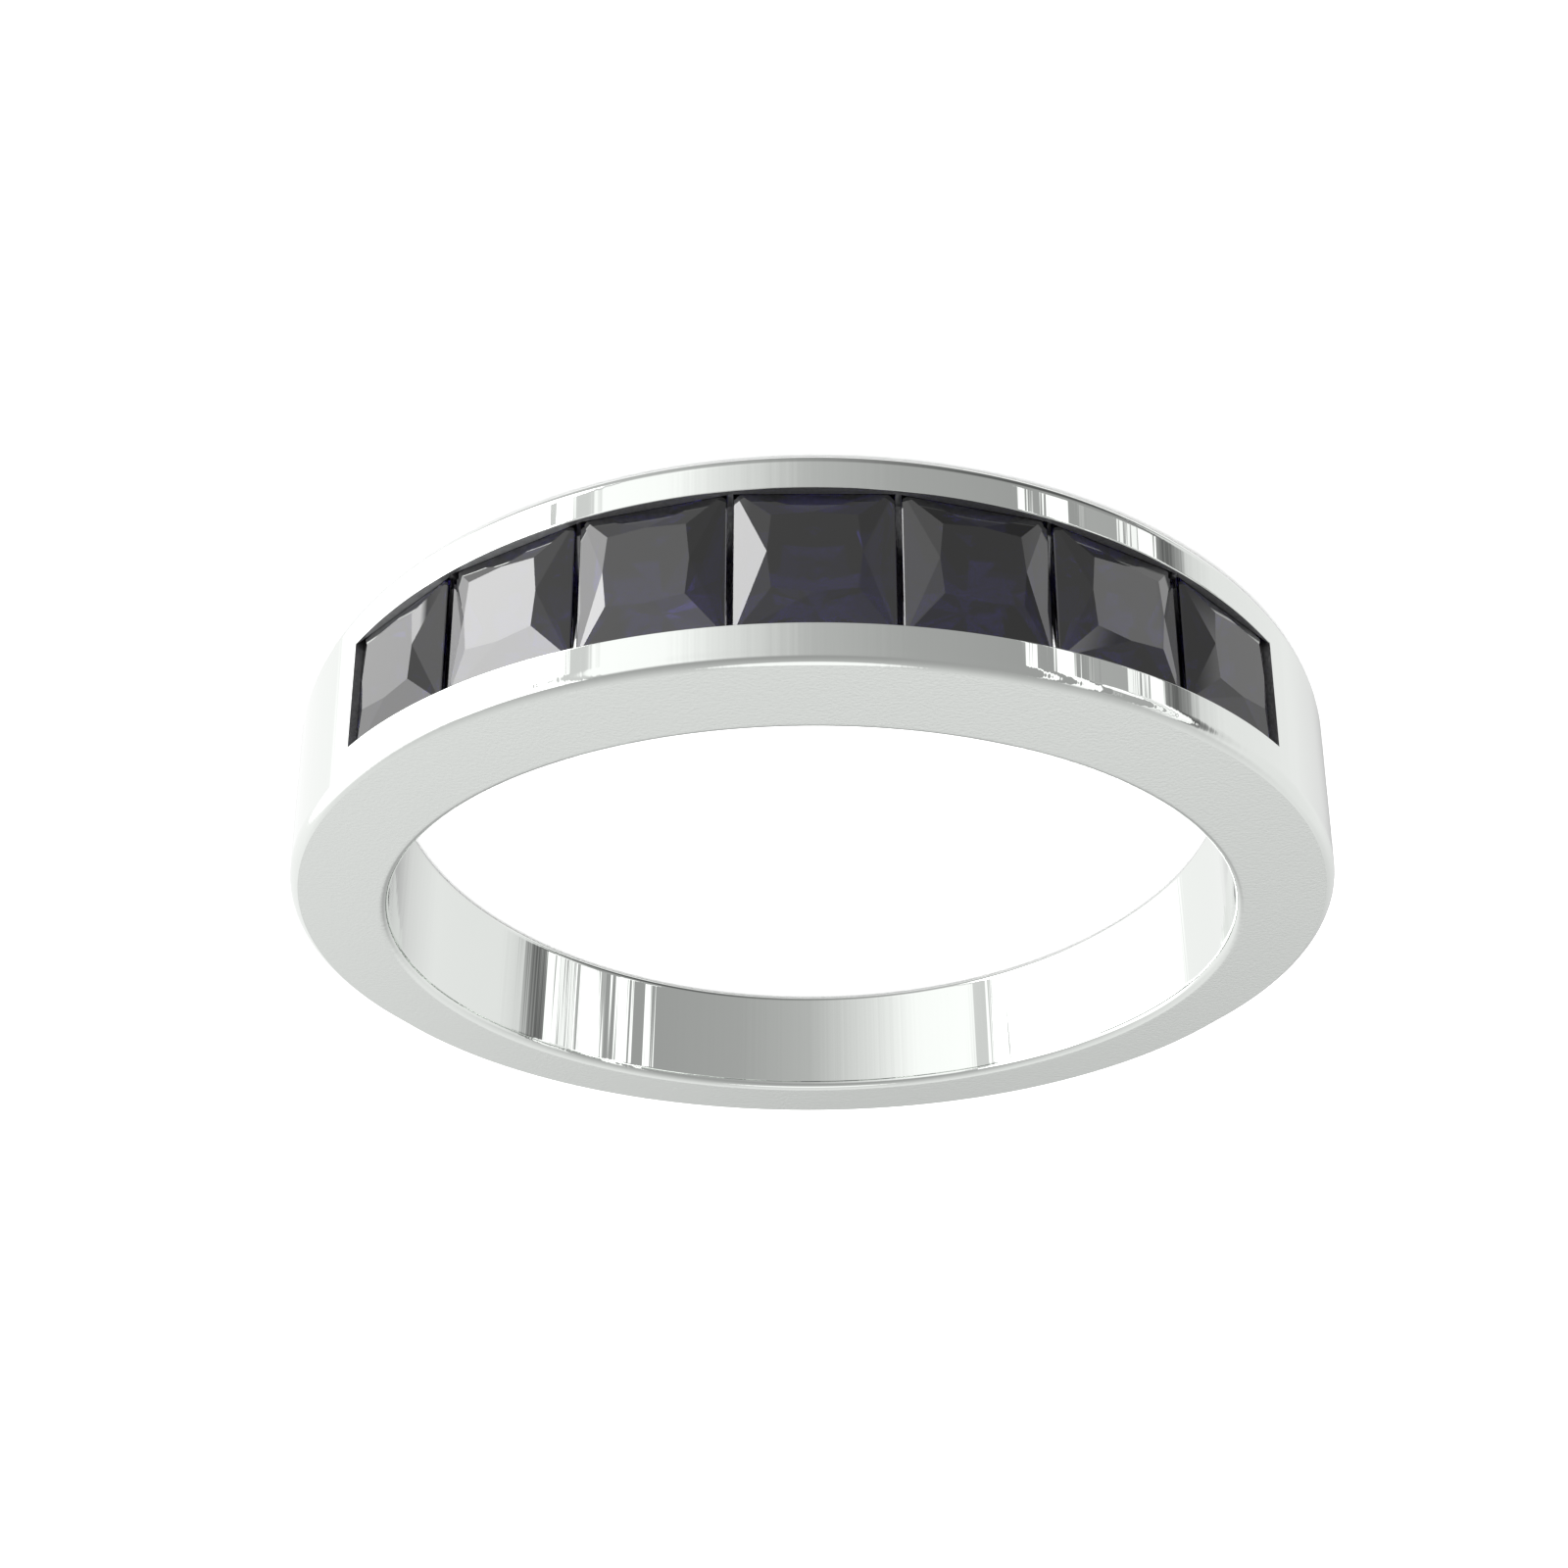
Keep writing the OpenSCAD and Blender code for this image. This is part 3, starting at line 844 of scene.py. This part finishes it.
def paper_floor(reach):
    """A square of paper under the ring. The ring doesn't mirror it, but the tent's lower part instead."""
    mesh = bpy.data.meshes.new("paper_floor")
    corners = [(-reach, -reach, 0), (reach, -reach, 0), (reach, reach, 0), (-reach, reach, 0)]
    mesh.from_pydata(corners, [], [(0, 1, 2, 3)])
    mesh.materials.append(white_paper())
    floor = bpy.data.objects.new("paper_floor", mesh)
    bpy.context.scene.collection.objects.link(floor)
    floor.visible_glossy = False


def photo_camera(studio):
    """The scene's camera: it looks at its aim from a distance, an azimuth and an elevation, and is rolled."""
    camera = bpy.data.objects.new("camera", bpy.data.cameras.new("camera"))
    bpy.context.scene.collection.objects.link(camera)
    camera.data.lens = studio.lens
    camera.data.sensor_width = 36.0
    camera.data.clip_start, camera.data.clip_end = 1 * MM, 10.0
    level = math.cos(studio.elevation)
    back = Vector((
        math.sin(studio.azimuth) * level, -math.cos(studio.azimuth) * level, math.sin(studio.elevation)
    ))
    camera.location = Vector(studio.aim) + back * studio.distance
    camera.rotation_mode = "QUATERNION"
    camera.rotation_quaternion = (-back).to_track_quat("-Z", "Y") @ Quaternion((0, 0, 1), studio.roll)
    bpy.context.scene.camera = camera


def add_piece(mesh, node):
    """Puts a finished mesh into the scene as a piece that stands for one solid."""
    piece = bpy.data.objects.new(mesh.name, mesh)
    bpy.context.scene.collection.objects.link(piece)
    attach(piece, "root")
    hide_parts(node)


class RING_OT_band(bpy.types.Operator):
    """Make the band's polished skin, with its channel and windows, and let it stand for the solid band."""

    bl_idname = "ring.band"
    bl_label = "Band"

    def execute(self, context):
        scene = context.scene
        shape = RingShape(scene.band_sizes, scene.row_sizes)
        mesh = BandSurface(shape).mesh("polished_band")
        for material in (polished_rhodium, satin_rhodium, cast_metal):
            mesh.materials.append(material(scene.metal_finish))
        add_piece(mesh, "band")
        return {"FINISHED"}


class RING_OT_stones(bpy.types.Operator):
    """Cut the seven sapphires, and let each stand for its solid stone."""

    bl_idname = "ring.stones"
    bl_label = "Stones"

    def execute(self, context):
        scene = context.scene
        shape = RingShape(scene.band_sizes, scene.row_sizes)
        sapphire = cut_sapphire(scene.stone_finish)
        for number, node in enumerate(STONES):
            mesh = princess_cut(shape, number, f"cut_{node}")
            mesh.materials.append(sapphire)
            add_piece(mesh, node)
        return {"FINISHED"}


class RING_OT_studio(bpy.types.Operator):
    """Set the paper floor, the light tent and the camera."""

    bl_idname = "ring.studio"
    bl_label = "Studio"

    def execute(self, context):
        scene = context.scene
        paper_floor(scene.studio.floor_reach)
        scene.world = studio_world(scene.studio)
        scene.view_settings.view_transform = "Standard"
        photo_camera(scene.studio)
        return {"FINISHED"}


class RING_PT_panel(bpy.types.Panel):
    """Lists the ring's pieces, to make them one at a time."""

    bl_label = "Channel set band"
    bl_idname = "RING_PT_panel"
    bl_space_type = "VIEW_3D"
    bl_region_type = "UI"
    bl_category = "Ring"

    def draw(self, context):
        for operator in OPERATORS:
            self.layout.operator(operator.bl_idname)


GROUPS = {
    "band_sizes": BandSizes,
    "row_sizes": RowSizes,
    "metal_finish": MetalFinish,
    "stone_finish": StoneFinish,
    "studio": Studio,
}
OPERATORS = (RING_OT_band, RING_OT_stones, RING_OT_studio)


def register():
    """Registers the classes, and keeps one group of each kind of setting on the scene."""
    for kind in (*GROUPS.values(), *OPERATORS, RING_PT_panel):
        bpy.utils.register_class(kind)
    for name, kind in GROUPS.items():
        setattr(bpy.types.Scene, name, PointerProperty(type=kind))


def unregister():
    """Takes the settings and the classes away again."""
    for name in GROUPS:
        delattr(bpy.types.Scene, name)
    for kind in (RING_PT_panel, *OPERATORS[::-1], *list(GROUPS.values())[::-1]):
        bpy.utils.unregister_class(kind)


def main():
    """Makes the studio and every piece."""
    register()
    bpy.ops.ring.studio()
    bpy.ops.ring.band()
    bpy.ops.ring.stones()


if __name__ == "__main__":
    main()
